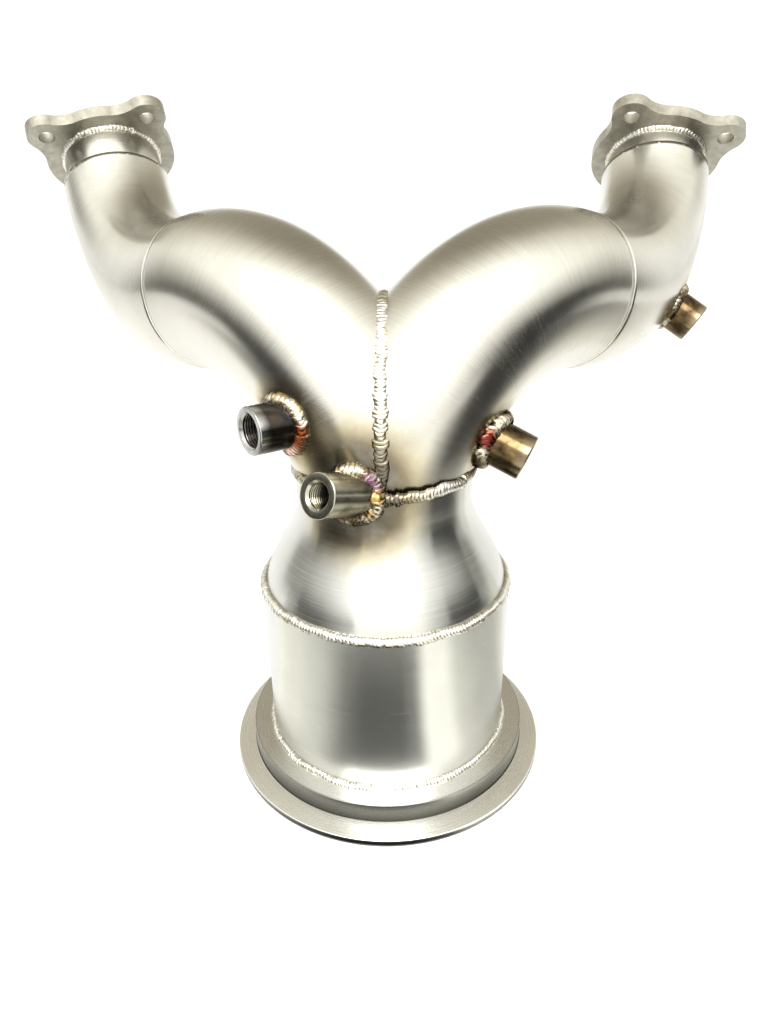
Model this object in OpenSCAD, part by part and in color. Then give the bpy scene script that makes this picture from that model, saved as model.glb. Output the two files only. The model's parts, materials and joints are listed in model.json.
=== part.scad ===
// Y-shaped merge pipe of a twin-turbo exhaust: two flanged inlets, each a collar, a reducing
// elbow and a mandrel bend, meet in a mitred collector above a cone, a round can and a wide
// V-band outlet flange. Thin-walled stainless steel, welded, with four threaded sensor bosses.
// Origin: centre of the outlet flange's mating face. +Z up, +X to the right inlet, +Y back.

/* [Outlet flange] */
// Outer diameter of the V-band lip
lip_d = 188; // [176:1:196]
// Height of the lip at its outer edge
lip_edge_h = 4; // [3:0.5:5]
// Height of the lip where it meets the hub
lip_root_h = 6.5; // [5.5:0.5:8]
// Outer diameter of the flange hub
hub_d = 166; // [156:0.5:170]
// Height of the hub above the mating face
hub_h = 18; // [14:0.5:24]
// Bore of the flange below the can
outlet_bore_d = 134; // [128:0.5:135]
// Height of the ledge on which the can stands
ledge_h = 12; // [9:0.5:14]

/* [Can and cone] */
// Outer diameter of the can, 5 inch pipe size
can_d = 141.3; // [138:0.1:145]
// Height of the can's upper edge
can_top = 115.4; // [100:0.5:140]
// Wall of the can, the cone and the pipes
wall = 2; // [1.5:0.1:2.5]
// Depth of the cone's foot inside the can
cone_inset = 5.5; // [4:0.5:8]
// Outer diameter of the neck
neck_d = 95.6; // [92:0.1:98]
// Height at which the cone becomes the neck
neck_start = 168; // [155:1:172]
// Height of the neck's upper edge, where the two pipes are welded on
neck_top = 184; // [176:0.5:190]

/* [Lower bends] */
// Outer diameter of the inlet pipes, 3 inch pipe size
pipe_d = 88.9; // [84:0.1:90]
// Sideways distance of each pipe's axis from the middle, at the start of its stub
stub_offset = 1.5; // [0:0.5:4]
// Height at which the stub starts
stub_z = 181.5; // [174:0.5:188]
// Lean of the stub from vertical
stub_lean = 21.2; // [18:0.2:24]
// Compass direction of that lean, from straight sideways towards the back
stub_compass = 18.5; // [10:0.1:25]
// Straight length of the stub
stub_len = 15.4; // [10:0.1:20]
// Centreline radius of the lower bend
lower_clr = 101.4; // [92:0.1:110]
// Angle of the lower bend
lower_angle = 84.2; // [75:0.1:90]
// Turn of the lower bend's plane about the stub
lower_turn = 25.3; // [15:0.1:30]

/* [Upper elbows] */
// Centreline radius of the reducing elbow
elbow_clr = 142; // [120:0.5:160]
// Angle of the left reducing elbow
left_elbow_angle = 67.5; // [60:0.1:80]
// Angle of the right reducing elbow
right_elbow_angle = 70.7; // [60:0.1:80]
// Outer diameter of the elbow at its small end
elbow_end_d = 70.6; // [66:0.1:74]
// Part of the elbow's length over which it gets narrower
taper_share = 0.8; // [0.5:0.05:1]
// Turn of the elbow's plane from the lower bend's plane
elbow_turn = 151.9; // [145:0.1:165]
// Amount by which the left elbow is turned further than the right one, halved
elbow_skew = 5; // [0:0.5:6]

/* [Inlet flanges] */
// Outer diameter of the collar, 2.5 inch tube
collar_d = 63.5; // [60:0.1:64]
// Length of the left collar that shows between the elbow and the flange
left_collar_len = 21; // [8:0.5:24]
// Length of the right collar that shows between the elbow and the flange
right_collar_len = 13; // [8:0.5:24]
// Thickness of the flange plate
plate_t = 7.5; // [6:0.5:12]
// Diameter of the round middle of the plate
plate_d = 86; // [78:0.5:90]
// Radius of the circle through the bolt holes
bolt_circle_r = 46.5; // [43:0.5:48]
// Radius of each bolt lobe
lobe_r = 12.5; // [10:0.5:14]
// Radius of the hollow between lobe and plate
fillet_r = 24; // [10:1:30]
// Diameter of a bolt hole, clearance for M10
bolt_hole_d = 10.5; // [9:0.5:11]
// Angle between the two upper lobes
lobe_spread = 91; // [85:1:95]
// Turn of the flanges about their collars
plate_turn = 1; // [-5:1:5]
// Amount by which the right flange is turned further than the left one, halved
plate_skew = 9; // [0:1:12]

/* [Sensor bosses] */
// Outer diameter of the three large bosses
boss_d = 24.4; // [24:0.1:28]
// Thread bore of the large bosses, M18 x 1.5
boss_bore_d = 16.4; // [16:0.1:17]
// Outer diameter of the small front boss
small_boss_d = 22.4; // [20:0.1:24]
// Thread bore of the small boss, M14 x 1.5
small_boss_bore_d = 12.4; // [12:0.1:13]
// Countersink at the mouth of each boss
mouth_chamfer = 1; // [0.5:0.1:1.5]
// Bevel on the outer rim of each boss
rim_chamfer = 0.7; // [0.3:0.1:1]

/* [Weld beads] */
// Half width of the large fillet beads
bead_r = 2.6; // [2:0.1:3.5]
// Half width of the bead around the collector
collector_bead_r = 3.2; // [2.4:0.1:4]
// Distance of that bead's middle below the neck's edge
collector_bead_drop = 0.8; // [0:0.1:2]
// Height of the beads that lie on the pipes
bead_h = 2; // [1:0.1:2.5]
// Width of the beads around the bosses
boss_bead_w = 4; // [3:0.1:5]
// Half width of the flush seams
seam_half_w = 1.2; // [0.8:0.1:2]
// Height of the flush seams
seam_h = 0.4; // [0.2:0.1:0.6]

/* [Hidden] */

$fn = 96;
// Directions of the three lobes; their webs reach past the curves, and hollows bite into them
lobe_angles = [0, lobe_spread, lobe_spread / 2 + 180];
web_reach = 1.2;
web_bite = 0.15;
blank_t = plate_t + 6;
function elbow_angle(side) = side == LEFT ? left_elbow_angle : right_elbow_angle;
function collar_len(side) = side == LEFT ? left_collar_len : right_collar_len;
LEFT = -1;
RIGHT = 1;
can_r = can_d / 2;
neck_r = neck_d / 2;
pipe_r = pipe_d / 2;
elbow_end_r = elbow_end_d / 2;
collar_r = collar_d / 2;
plate_r = plate_d / 2;
// Height at which the cone's foot sits inside the can
cone_foot = can_top - cone_inset;
// Larger than anything that is cut away
far = 400;
// Length of stub below its start, which the collector plane cuts off
stub_root = 30;
// Rings along an elbow and sides around it
elbow_rings = 24;
elbow_sides = 40;
// Steps of the cone's curved wall
cone_steps = 16;

// Bosses on the pipes: [side, angle along the bend, angle around the pipe, height, lean]
left_boss = [LEFT, 15.9, -90, 20.8, -14];
right_boss = [RIGHT, 14, -60, 23, -2];
upper_boss = [RIGHT, 30.3, 146, 17.5, 0];
// Front boss: compass angle and height of its foot, compass angle and rise of its axis
front_foot_compass = -16.2;
front_foot_z = 184.8;
front_axis_compass = -38;
front_axis_rise = 19.3;
front_boss_h = 27;
// Depth to which a boss blank reaches below the pipe's surface before it is trimmed
boss_root = 8;

steel = [0.74, 0.73, 0.69];
dark_steel = [0.45, 0.42, 0.36];
bead_steel = [0.62, 0.59, 0.53];

function ease(t) = t <= 0 ? 0 : t >= 1 ? 1 : t * t * (3 - 2 * t);
function elbow_r(t) = pipe_r + (elbow_end_r - pipe_r) * ease(t / taper_share);
function cone_r(t) = neck_r + (can_r - wall - neck_r) * (0.5 + 0.5 * cos(180 * t));
function cone_z(t) = cone_foot + (neck_start - cone_foot) * t;

// ---- Places -----------------------------------------------------------------------------

// Mirrors its children for the left side
module on_side(side) {
    if (side == LEFT) mirror([1, 0, 0]) children();
    else children();
}

// Start of a lower bend's stub, +Z along the pipe
module at_stub(side) {
    on_side(side)
        translate([stub_offset, 0, stub_z])
        rotate([0, 0, stub_compass])
        rotate([0, stub_lean, 0])
        rotate([0, 0, lower_turn])
        children();
}

// A place that lies an angle along a bend which turns from +Z towards +X
module along_bend(clr, angle) {
    translate([clr, 0, 0])
        rotate([0, angle, 0])
        translate([-clr, 0, 0])
        children();
}

module at_lower_bend(side, angle) {
    at_stub(side)
        translate([0, 0, stub_len])
        along_bend(lower_clr, angle)
        children();
}

module at_elbow(side, angle) {
    at_lower_bend(side, lower_angle)
        rotate([0, 0, elbow_turn - side * elbow_skew])
        along_bend(elbow_clr, angle)
        children();
}

module at_flange(side) {
    at_elbow(side, elbow_angle(side))
        translate([0, 0, collar_len(side)])
        rotate([0, 0, plate_turn + side * plate_skew])
        children();
}

// Axis of a boss that stands square on a pipe, +Z outwards, origin on the pipe's centreline
// Boss axis as +Z: it stands on a pipe of radius r at the angle boss[2] and leans by boss[4]
module square_to_pipe(boss, r) {
    rotate([0, 0, boss[2]])
        translate([r, 0, 0])
        rotate([0, 90 + boss[4], 0])
        translate([0, 0, -r])
        children();
}

module at_lower_boss(boss) {
    at_lower_bend(boss[0], boss[1])
        square_to_pipe(boss, pipe_r)
        children();
}

module at_upper_boss() {
    at_elbow(upper_boss[0], upper_boss[1])
        square_to_pipe(upper_boss, upper_seat_r)
        children();
}

// Foot of the front boss on the neck, +Z along the boss
module at_front_boss() {
    translate([neck_r * sin(front_foot_compass), -neck_r * cos(front_foot_compass), front_foot_z])
        rotate([0, 0, front_axis_compass])
        rotate([90 - front_axis_rise, 0, 0])
        children();
}

// ---- Shapes -----------------------------------------------------------------------------

// Round bar that starts along +Z and bends towards +X
module bent_bar(clr, angle, r) {
    translate([clr, 0, 0])
        rotate(a = 180, v = [0, 1, 1])
        rotate_extrude(angle = angle)
        translate([clr, 0])
        circle(r);
}

module bent_tube(clr, angle, r_out, r_in) {
    translate([clr, 0, 0])
        rotate(a = 180, v = [0, 1, 1])
        rotate_extrude(angle = angle)
        translate([clr, 0])
        difference() {
            circle(r_out);
            circle(r_in);
        }
}

module tube(r_out, r_in, h) {
    difference() {
        cylinder(r = r_out, h = h);
        translate([0, 0, -1]) cylinder(r = r_in, h = h + 2);
    }
}

// Solid outline of a lower bend with its stub, at any radius
module lower_bar(side, r) {
    at_stub(side) {
        translate([0, 0, -stub_root]) cylinder(r = r, h = stub_root + stub_len);
        translate([0, 0, stub_len]) bent_bar(lower_clr, lower_angle, r);
    }
}

// Everything on the far side of the mitre and below the collector plane
module beyond_mitre(side) {
    on_side(side) {
        translate([-far, -far, 0]) cube([far, 2 * far, 2 * far]);
        translate([-far, -far, neck_top - far]) cube([2 * far, 2 * far, far]);
    }
}

// Ring of weld on a pipe of radius r: a half round on the pipe's surface
module surface_bead(r, half_w, h) {
    rotate_extrude()
        translate([r, 0])
        intersection() {
            scale(h / half_w) circle(half_w * half_w / h);
            translate([0, -half_w]) square([h, 2 * half_w]);
        }
}

// Ring of weld in the corner between a pipe of radius r and a plate below it
module corner_bead(r, size) {
    rotate_extrude()
        translate([r, 0])
        intersection() {
            circle(size);
            square(size);
        }
}

// Reducing elbow as rings of points, outer wall then inner wall
module elbow_shell(angle) {
    rings = elbow_rings;
    sides = elbow_sides;
    layer = (rings + 1) * sides;
    points = [for (inner = [0, 1]) for (k = [0:rings]) for (j = [0:sides - 1])
        let (t = k / rings,
            a = angle * t,
            c = 360 * j / sides,
            r = elbow_r(t) - inner * wall,
            reach = elbow_clr - r * cos(c))
        [elbow_clr - reach * cos(a), r * sin(c), reach * sin(a)]];
    outer_faces = [for (k = [0:rings - 1]) for (j = [0:sides - 1])
        let (a = k * sides + j, b = k * sides + (j + 1) % sides)
        [a, a + sides, b + sides, b]];
    inner_faces = [for (f = outer_faces) [for (i = [3:-1:0]) f[i] + layer]];
    start_faces = [for (j = [0:sides - 1])
        let (a = j, b = (j + 1) % sides)
        [a, b, b + layer, a + layer]];
    end_faces = [for (f = start_faces) [for (i = [3:-1:0]) f[i] + rings * sides]];
    polyhedron(points, concat(outer_faces, inner_faces, start_faces, end_faces));
}

// Tall lobe at bolt_circle_r on +X, joined to the plate through two hollows of fillet_r
module lobe() {
    a = plate_r + fillet_r;
    b = lobe_r + fillet_r;
    c = bolt_circle_r;
    along = (a * a + c * c - b * b) / (2 * c);
    aside = sqrt(a * a - along * along);
    hollow = [along, aside];
    near = hollow * (plate_r + web_reach) / a;
    away = [c, 0] + (hollow - [c, 0]) * (lobe_r + web_reach) / b;
    translate([c, 0, 0]) cylinder(r = lobe_r, h = blank_t);
    difference() {
        linear_extrude(blank_t)
            polygon([[c / 4, 0], near, away, [c - 2, 0], [away.x, -away.y], [near.x, -near.y]]);
        for (hand = [-1, 1])
            translate([along, hand * aside, -1])
                cylinder(r = fillet_r + web_bite, h = blank_t + 2);
    }
}

// The plate is cut to its thickness after its lobes have been joined on
module inlet_plate() {
    difference() {
        intersection() {
            translate([0, 0, (plate_t - blank_t) / 2]) {
                cylinder(r = plate_r, h = blank_t);
                for (a = lobe_angles) rotate(a) lobe();
            }
            cylinder(r = 2 * plate_r, h = plate_t);
        }
        translate([0, 0, -1]) cylinder(r = collar_r, h = plate_t + 2);
        for (a = lobe_angles)
            rotate(a) translate([bolt_circle_r, 0, -1]) cylinder(d = bolt_hole_d, h = plate_t + 2);
    }
}

// Boss blank along +Z with bevelled rim, from boss_root below r up to r + h
module boss_blank(d, r, h) {
    translate([0, 0, r - boss_root]) cylinder(d = d, h = boss_root + h - rim_chamfer);
    translate([0, 0, r + h - rim_chamfer])
        cylinder(d1 = d, d2 = d - 2 * rim_chamfer, h = rim_chamfer);
}

module boss_hole(d, r, h) {
    translate([0, 0, r - 2 * boss_root]) cylinder(d = d, h = 2 * boss_root + h + 1);
    translate([0, 0, r + h - mouth_chamfer])
        cylinder(d1 = d, d2 = d + 2 * mouth_chamfer, h = mouth_chamfer);
}

// ---- Outlet -----------------------------------------------------------------------------

module vband_flange() {
    bore_r = outlet_bore_d / 2;
    hub_bevel = 1;
    color(steel)
        rotate_extrude()
        polygon([
            [bore_r, 0],
            [lip_d / 2, 0],
            [lip_d / 2, lip_edge_h],
            [hub_d / 2, lip_root_h],
            [hub_d / 2, hub_h - hub_bevel],
            [hub_d / 2 - hub_bevel, hub_h],
            [can_r, hub_h],
            [can_r, ledge_h],
            [bore_r, ledge_h]]);
}

module outlet_can() {
    color(steel)
        translate([0, 0, ledge_h])
        tube(can_r, can_r - wall, can_top - ledge_h);
}

module reducer_cone() {
    curve = [for (k = [0:cone_steps]) [cone_r(k / cone_steps), cone_z(k / cone_steps)]];
    back = [for (k = [cone_steps:-1:0]) [curve[k][0] - wall, curve[k][1]]];
    color(steel)
        difference() {
            rotate_extrude()
                polygon(concat(curve,
                    [[neck_r, neck_top], [neck_r - wall, neck_top]],
                    back));
            at_front_boss() boss_hole(small_boss_bore_d, 0, front_boss_h);
        }
}

// ---- Pipes ------------------------------------------------------------------------------

module lower_bend(side) {
    color(steel)
        difference() {
            at_stub(side) {
                translate([0, 0, -stub_root]) tube(pipe_r, pipe_r - wall, stub_root + stub_len);
                translate([0, 0, stub_len])
                    bent_tube(lower_clr, lower_angle, pipe_r, pipe_r - wall);
            }
            beyond_mitre(side);
            if (side == LEFT) {
                at_lower_boss(left_boss) boss_hole(boss_bore_d, pipe_r, left_boss[3]);
                at_front_boss() boss_hole(small_boss_bore_d, 0, front_boss_h);
            }
            if (side == RIGHT) at_lower_boss(right_boss) boss_hole(boss_bore_d, pipe_r, right_boss[3]);
        }
}

module left_lower_bend() { lower_bend(LEFT); }
module right_lower_bend() { lower_bend(RIGHT); }

module left_elbow() {
    color(steel) at_elbow(LEFT, 0) elbow_shell(left_elbow_angle);
}

module right_elbow() {
    color(steel)
        difference() {
            at_elbow(RIGHT, 0) elbow_shell(right_elbow_angle);
            at_upper_boss() boss_hole(boss_bore_d, pipe_r, upper_boss[3]);
        }
}

module collar(side) {
    color(steel)
        at_elbow(side, elbow_angle(side))
        tube(collar_r, collar_r - wall, collar_len(side) + plate_t);
}

module left_collar() { collar(LEFT); }
module right_collar() { collar(RIGHT); }

module left_inlet_flange() { color(steel) at_flange(LEFT) inlet_plate(); }
module right_inlet_flange() { color(steel) at_flange(RIGHT) inlet_plate(); }

// ---- Bosses -----------------------------------------------------------------------------

module lower_boss(boss) {
    color(dark_steel)
        difference() {
            at_lower_boss(boss) boss_blank(boss_d, pipe_r, boss[3]);
            lower_bar(boss[0], pipe_r);
            at_lower_boss(boss) boss_hole(boss_bore_d, pipe_r, boss[3]);
        }
}

module left_sensor_boss() { lower_boss(left_boss); }
module right_sensor_boss() { lower_boss(right_boss); }

// Radius of the elbow where the upper boss stands
upper_seat_r = elbow_r(upper_boss[1] / right_elbow_angle);

// Straight bar that stands for the elbow close to the upper boss
module upper_seat(r) {
    seat_len = 60;
    at_elbow(upper_boss[0], upper_boss[1])
        translate([0, 0, -seat_len / 2])
        cylinder(r = r, h = seat_len);
}

module upper_sensor_boss() {
    color(dark_steel)
        difference() {
            at_upper_boss() boss_blank(boss_d, upper_seat_r, upper_boss[3]);
            upper_seat(upper_seat_r);
            at_upper_boss() boss_hole(boss_bore_d, upper_seat_r, upper_boss[3]);
        }
}

// The neck and the left pipe, as the solids that trim the front boss
module front_seat(extra) {
    translate([0, 0, neck_start]) cylinder(r = neck_r + extra, h = neck_top - neck_start);
    difference() {
        lower_bar(LEFT, pipe_r + extra);
        beyond_mitre(LEFT);
    }
}

module front_sensor_boss() {
    color(dark_steel)
        difference() {
            at_front_boss() boss_blank(small_boss_d, 0, front_boss_h);
            front_seat(0);
            at_front_boss() boss_hole(small_boss_bore_d, 0, front_boss_h);
        }
}

// ---- Welds ------------------------------------------------------------------------------

module vband_weld() {
    color(bead_steel) translate([0, 0, hub_h]) corner_bead(can_r, bead_r);
}

module can_weld() {
    color(bead_steel)
        translate([0, 0, can_top])
        corner_bead(cone_r(cone_inset / (neck_start - cone_foot)), bead_r + 1);
}

module collector_weld() {
    color(bead_steel)
        difference() {
            translate([0, 0, neck_top - collector_bead_drop])
                rotate_extrude()
                translate([neck_r, 0])
                circle(collector_bead_r);
            translate([0, 0, neck_start]) cylinder(r = neck_r, h = neck_top - neck_start);
            lower_bar(LEFT, pipe_r);
            lower_bar(RIGHT, pipe_r);
            at_front_boss() boss_blank(small_boss_d, 0, front_boss_h);
        }
}

// Half of the bead along the mitre between the two pipes
module half_merge_bead() {
    half_w = bead_r + 0.6;
    bead_foot = neck_top + bead_r;
    difference() {
        intersection() {
            lower_bar(RIGHT, pipe_r + bead_h);
            translate([0, -far / 2, bead_foot]) cube([half_w, far, far]);
        }
        lower_bar(RIGHT, pipe_r);
    }
}

module merge_weld() {
    color(bead_steel) {
        half_merge_bead();
        mirror([1, 0, 0]) half_merge_bead();
    }
}

module seam_weld(side) {
    color(bead_steel) at_elbow(side, 0) surface_bead(pipe_r, seam_half_w, seam_h);
}

module left_seam_weld() { seam_weld(LEFT); }
module right_seam_weld() { seam_weld(RIGHT); }

module collar_weld(side) {
    color(bead_steel)
        at_elbow(side, elbow_angle(side))
        corner_bead(collar_r, elbow_end_r - collar_r);
}

module left_collar_weld() { collar_weld(LEFT); }
module right_collar_weld() { collar_weld(RIGHT); }

module flange_weld(side) {
    color(bead_steel)
        at_elbow(side, elbow_angle(side))
        translate([0, 0, collar_len(side)])
        mirror([0, 0, 1])
        corner_bead(collar_r, bead_r);
}

module left_flange_weld() { flange_weld(LEFT); }
module right_flange_weld() { flange_weld(RIGHT); }

module lower_boss_weld(boss) {
    color(bead_steel)
        difference() {
            intersection() {
                at_lower_boss(boss)
                    cylinder(r = boss_d / 2 + boss_bead_w, h = pipe_r + boss[3] / 2);
                lower_bar(boss[0], pipe_r + bead_h);
            }
            lower_bar(boss[0], pipe_r);
            at_lower_boss(boss) cylinder(d = boss_d, h = pipe_r + boss[3]);
        }
}

module left_boss_weld() { lower_boss_weld(left_boss); }
module right_boss_weld() { lower_boss_weld(right_boss); }

module upper_boss_weld() {
    color(bead_steel)
        difference() {
            intersection() {
                at_upper_boss()
                    cylinder(r = boss_d / 2 + boss_bead_w, h = pipe_r + upper_boss[3] / 2);
                upper_seat(upper_seat_r + bead_h);
            }
            upper_seat(upper_seat_r);
            at_upper_boss() cylinder(d = boss_d, h = pipe_r + upper_boss[3]);
        }
}

module front_boss_weld() {
    color(bead_steel)
        difference() {
            intersection() {
                at_front_boss()
                    translate([0, 0, -boss_root])
                    cylinder(r = small_boss_d / 2 + boss_bead_w, h = boss_root + front_boss_h / 2);
                front_seat(bead_h);
            }
            front_seat(0);
            at_front_boss()
                translate([0, 0, -2 * boss_root])
                cylinder(d = small_boss_d, h = 2 * boss_root + front_boss_h);
        }
}

vband_flange();
outlet_can();
reducer_cone();
left_lower_bend();
right_lower_bend();
left_elbow();
right_elbow();
left_collar();
right_collar();
left_inlet_flange();
right_inlet_flange();
left_sensor_boss();
front_sensor_boss();
right_sensor_boss();
upper_sensor_boss();
vband_weld();
can_weld();
collector_weld();
merge_weld();
left_seam_weld();
right_seam_weld();
left_collar_weld();
right_collar_weld();
left_flange_weld();
right_flange_weld();
left_boss_weld();
front_boss_weld();
right_boss_weld();
upper_boss_weld();
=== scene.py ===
"""Looks of a Y-shaped stainless exhaust merge pipe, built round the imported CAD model.

Metres, in the CAD frame: origin in the middle of the outlet face, +Z up, +X to the right inlet.
Swept and turned skins replace the CAD shells, and rippled beads replace the CAD welds.
"""

import json
import math
import random

import bmesh
import bpy
import numpy as np
from mathutils import Matrix, Vector, noise
from mathutils.bvhtree import BVHTree


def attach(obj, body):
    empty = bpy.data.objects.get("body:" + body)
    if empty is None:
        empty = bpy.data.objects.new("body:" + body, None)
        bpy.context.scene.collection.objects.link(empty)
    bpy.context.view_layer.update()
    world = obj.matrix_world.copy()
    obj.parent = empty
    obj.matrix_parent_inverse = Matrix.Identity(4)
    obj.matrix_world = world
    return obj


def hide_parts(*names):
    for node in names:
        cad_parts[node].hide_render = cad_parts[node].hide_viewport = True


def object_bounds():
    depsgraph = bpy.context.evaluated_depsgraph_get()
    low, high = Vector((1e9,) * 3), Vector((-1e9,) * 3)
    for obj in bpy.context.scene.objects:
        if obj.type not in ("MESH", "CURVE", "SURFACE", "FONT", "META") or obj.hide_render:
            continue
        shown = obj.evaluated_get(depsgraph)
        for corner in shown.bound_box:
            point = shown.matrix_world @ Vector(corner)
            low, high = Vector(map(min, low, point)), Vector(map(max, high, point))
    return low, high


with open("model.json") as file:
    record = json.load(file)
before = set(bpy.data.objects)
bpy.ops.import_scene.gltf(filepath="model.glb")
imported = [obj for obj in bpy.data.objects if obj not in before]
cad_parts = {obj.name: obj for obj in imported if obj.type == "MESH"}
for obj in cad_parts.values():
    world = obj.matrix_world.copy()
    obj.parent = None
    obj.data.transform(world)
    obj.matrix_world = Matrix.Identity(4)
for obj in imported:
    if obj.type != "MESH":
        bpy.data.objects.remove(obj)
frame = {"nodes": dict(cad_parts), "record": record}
cad_low, cad_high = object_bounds()

MM = 0.001
LEFT = -1
RIGHT = 1
SIDES = {"left": LEFT, "right": RIGHT}
ROUND = 144  # sides of a full turn

# ---- Driving dimensions, as in the CAD, in millimetres and degrees ------------------------
# _R is a radius, _D a diameter, _T a thickness, _H a height and _CLR a bend's centreline radius.

WALL = 2.0
PIPE_R = 44.45
STUB_OFFSET, STUB_Z = 1.5, 181.5
STUB_LEAN, STUB_COMPASS, STUB_LEN = 21.2, 18.5, 15.4
LOWER_CLR, LOWER_ANGLE, LOWER_TURN = 101.4, 84.2, 25.3
ELBOW_CLR, ELBOW_END_R = 142.0, 35.3
ELBOW_ANGLE = {LEFT: 67.5, RIGHT: 70.7}
ELBOW_TURN, ELBOW_SKEW, TAPER_SHARE = 151.9, 5.0, 0.8
COLLAR_R, PLATE_T = 31.75, 7.5
COLLAR_LEN = {LEFT: 21.0, RIGHT: 13.0}
NECK_R, NECK_TOP, NECK_START = 47.8, 184.0, 168.0
CAN_R, CAN_TOP, CONE_INSET = 70.65, 115.4, 5.5
LIP_R, LIP_EDGE_H, LIP_ROOT_H = 94.0, 4.0, 6.5
HUB_R, HUB_H, LEDGE_H, OUTLET_R = 83.0, 18.0, 12.0, 67.0
BOSS_D, BOSS_BORE_D = 24.4, 16.4
SMALL_BOSS_D, SMALL_BOSS_BORE_D = 22.4, 12.4
BOSS_H = {"left": 20.8, "front": 27.0, "right": 23.0, "upper": 17.5}
THREAD_PITCH = 1.5
BOSS_MOUTH = 1.3  # chamfer round the mouth of a sensor port


# ---- Places on the pipes ------------------------------------------------------------------


def move(x, y, z):
    return Matrix.Translation(Vector((x, y, z)))


def turn(axis, degrees):
    return Matrix.Rotation(math.radians(degrees), 4, axis)


def bend(radius, degrees):
    """From the start of a bend to the point `degrees` along it, bending from +Z towards +X."""
    return move(radius, 0, 0) @ turn("Y", degrees) @ move(-radius, 0, 0)


def at_stub(side):
    mirror = Matrix.Diagonal((side, 1, 1, 1))
    lean = turn("Z", STUB_COMPASS) @ turn("Y", STUB_LEAN) @ turn("Z", LOWER_TURN)
    return mirror @ move(STUB_OFFSET, 0, STUB_Z) @ lean


def at_lower_bend(side, degrees):
    return at_stub(side) @ move(0, 0, STUB_LEN) @ bend(LOWER_CLR, degrees)


def at_elbow(side, degrees):
    turned = turn("Z", ELBOW_TURN - side * ELBOW_SKEW)
    return at_lower_bend(side, LOWER_ANGLE) @ turned @ bend(ELBOW_CLR, degrees)


def ease(t):
    t = min(max(t, 0), 1)
    return t * t * (3 - 2 * t)


def elbow_r(t):
    return PIPE_R + (ELBOW_END_R - PIPE_R) * ease(t / TAPER_SHARE)


# ---- Mesh building ------------------------------------------------------------------------


def make_piece(name, rows, slot, replaced=(), wrap=(False, True), uv=None, attribute=None):
    """Quad mesh over a grid of points in millimetres.

    uv holds the u of each row line and the v of each column line. The attribute, stored as "mark",
    is the height of a weld ripple, which sets the painted shade in a bead's hollows, or how worn a
    boss is, going below zero where shade is painted down its bore.
    """
    rows = np.asarray(rows, float)
    across, around = rows.shape[:2]
    index = np.arange(across * around).reshape(across, around)
    faces, corners = [], []
    for i in range(across - (not wrap[0])):
        for j in range(around - (not wrap[1])):
            a, b = (i + 1) % across, (j + 1) % around
            faces.append((index[i, j], index[i, b], index[a, b], index[a, j]))
            corners.append(((i, j), (i, j + 1), (i + 1, j + 1), (i + 1, j)))
    mesh = bpy.data.meshes.new(name)
    mesh.from_pydata((rows.reshape(-1, 3) * MM).tolist(), [], [tuple(map(int, f)) for f in faces])
    if uv is not None:
        layer = mesh.uv_layers.new(name="UVMap")
        flat = [(uv[0][i], uv[1][j]) for quad in corners for i, j in quad]
        layer.data.foreach_set("uv", np.array(flat, float).ravel())
    if attribute is not None:
        store = mesh.attributes.new("mark", "FLOAT", "POINT")
        store.data.foreach_set("value", np.asarray(attribute, float).ravel())
    mesh.polygons.foreach_set("use_smooth", [True] * len(mesh.polygons))
    return finish_piece(bpy.data.objects.new(name, mesh), slot, replaced)


def finish_piece(piece, slot, replaced=()):
    bpy.context.scene.collection.objects.link(piece)
    piece.data.materials.clear()
    piece.data.materials.append(MATERIALS[slot])
    outward(piece.data)
    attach(piece, "root")
    if replaced:
        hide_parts(*replaced)
    return piece


def outward(mesh):
    """Turns all faces outward."""
    shape = bmesh.new()
    shape.from_mesh(mesh)
    bmesh.ops.recalc_face_normals(shape, faces=shape.faces)
    shape.to_mesh(mesh)
    shape.free()


def weigh_normals(piece):
    modifier = piece.modifiers.new("even shading", "WEIGHTED_NORMAL")
    modifier.weight = 70
    modifier.keep_sharp = True


def rounded(profile, radius, steps=4):
    """Closed (r, z) outline with each corner replaced by an arc of at most that radius."""
    points = [Vector(p) for p in profile]
    result = []
    for k, corner in enumerate(points):
        before, after = points[k - 1] - corner, points[(k + 1) % len(points)] - corner
        half = before.angle(after) / 2
        cut = min(radius / math.tan(half), before.length * 0.45, after.length * 0.45)
        start, end = corner + before.normalized() * cut, corner + after.normalized() * cut
        for s in range(steps + 1):
            t = s / steps
            result.append(start * (1 - t) ** 2 + corner * 2 * t * (1 - t) + end * t * t)
    return [(p.x, p.y) for p in result]


def lathe(name, profile, slot, replaced=(), place=Matrix(), closed=True, sides=ROUND):
    """Turned piece: an (r, z) profile round the Z axis of `place`; v counts turns."""
    angles = np.linspace(0, 2 * math.pi, sides, endpoint=False)
    along = [0.0]
    for (r0, z0), (r1, z1) in zip(profile, profile[1:] + profile[:1]):
        along.append(along[-1] + math.hypot(r1 - r0, z1 - z0) * MM)
    rows = []
    for r, z in profile:
        ring = [place @ Vector((r * math.cos(a), r * math.sin(a), z)) for a in angles]
        rows.append([tuple(p) for p in ring])
    uv = (along, np.linspace(0, 1, sides + 1))
    return make_piece(name, rows, slot, replaced, (closed, True), uv)


def sweep(name, frames, radii, slot, replaced=()):
    """Pipe skin through frames: the outer wall, then back along the inner wall, closed."""
    angles = np.linspace(0, 2 * math.pi, ROUND, endpoint=False)
    circle = [Vector((math.cos(a), math.sin(a), 0)) for a in angles]
    path = list(zip(frames, radii))
    inner = [(m, r - WALL) for m, r in reversed(path)]
    rows = [[tuple(m @ (c * r)) for c in circle] for m, r in path + inner]
    along = [0.0]
    centres = [m.translation for m, _ in path + inner]
    for a, b in zip(centres, centres[1:] + centres[:1]):
        along.append(along[-1] + (a - b).length * MM)
    uv = (along, np.linspace(0, 1, ROUND + 1))
    return make_piece(name, rows, slot, replaced, (True, True), uv)


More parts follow.
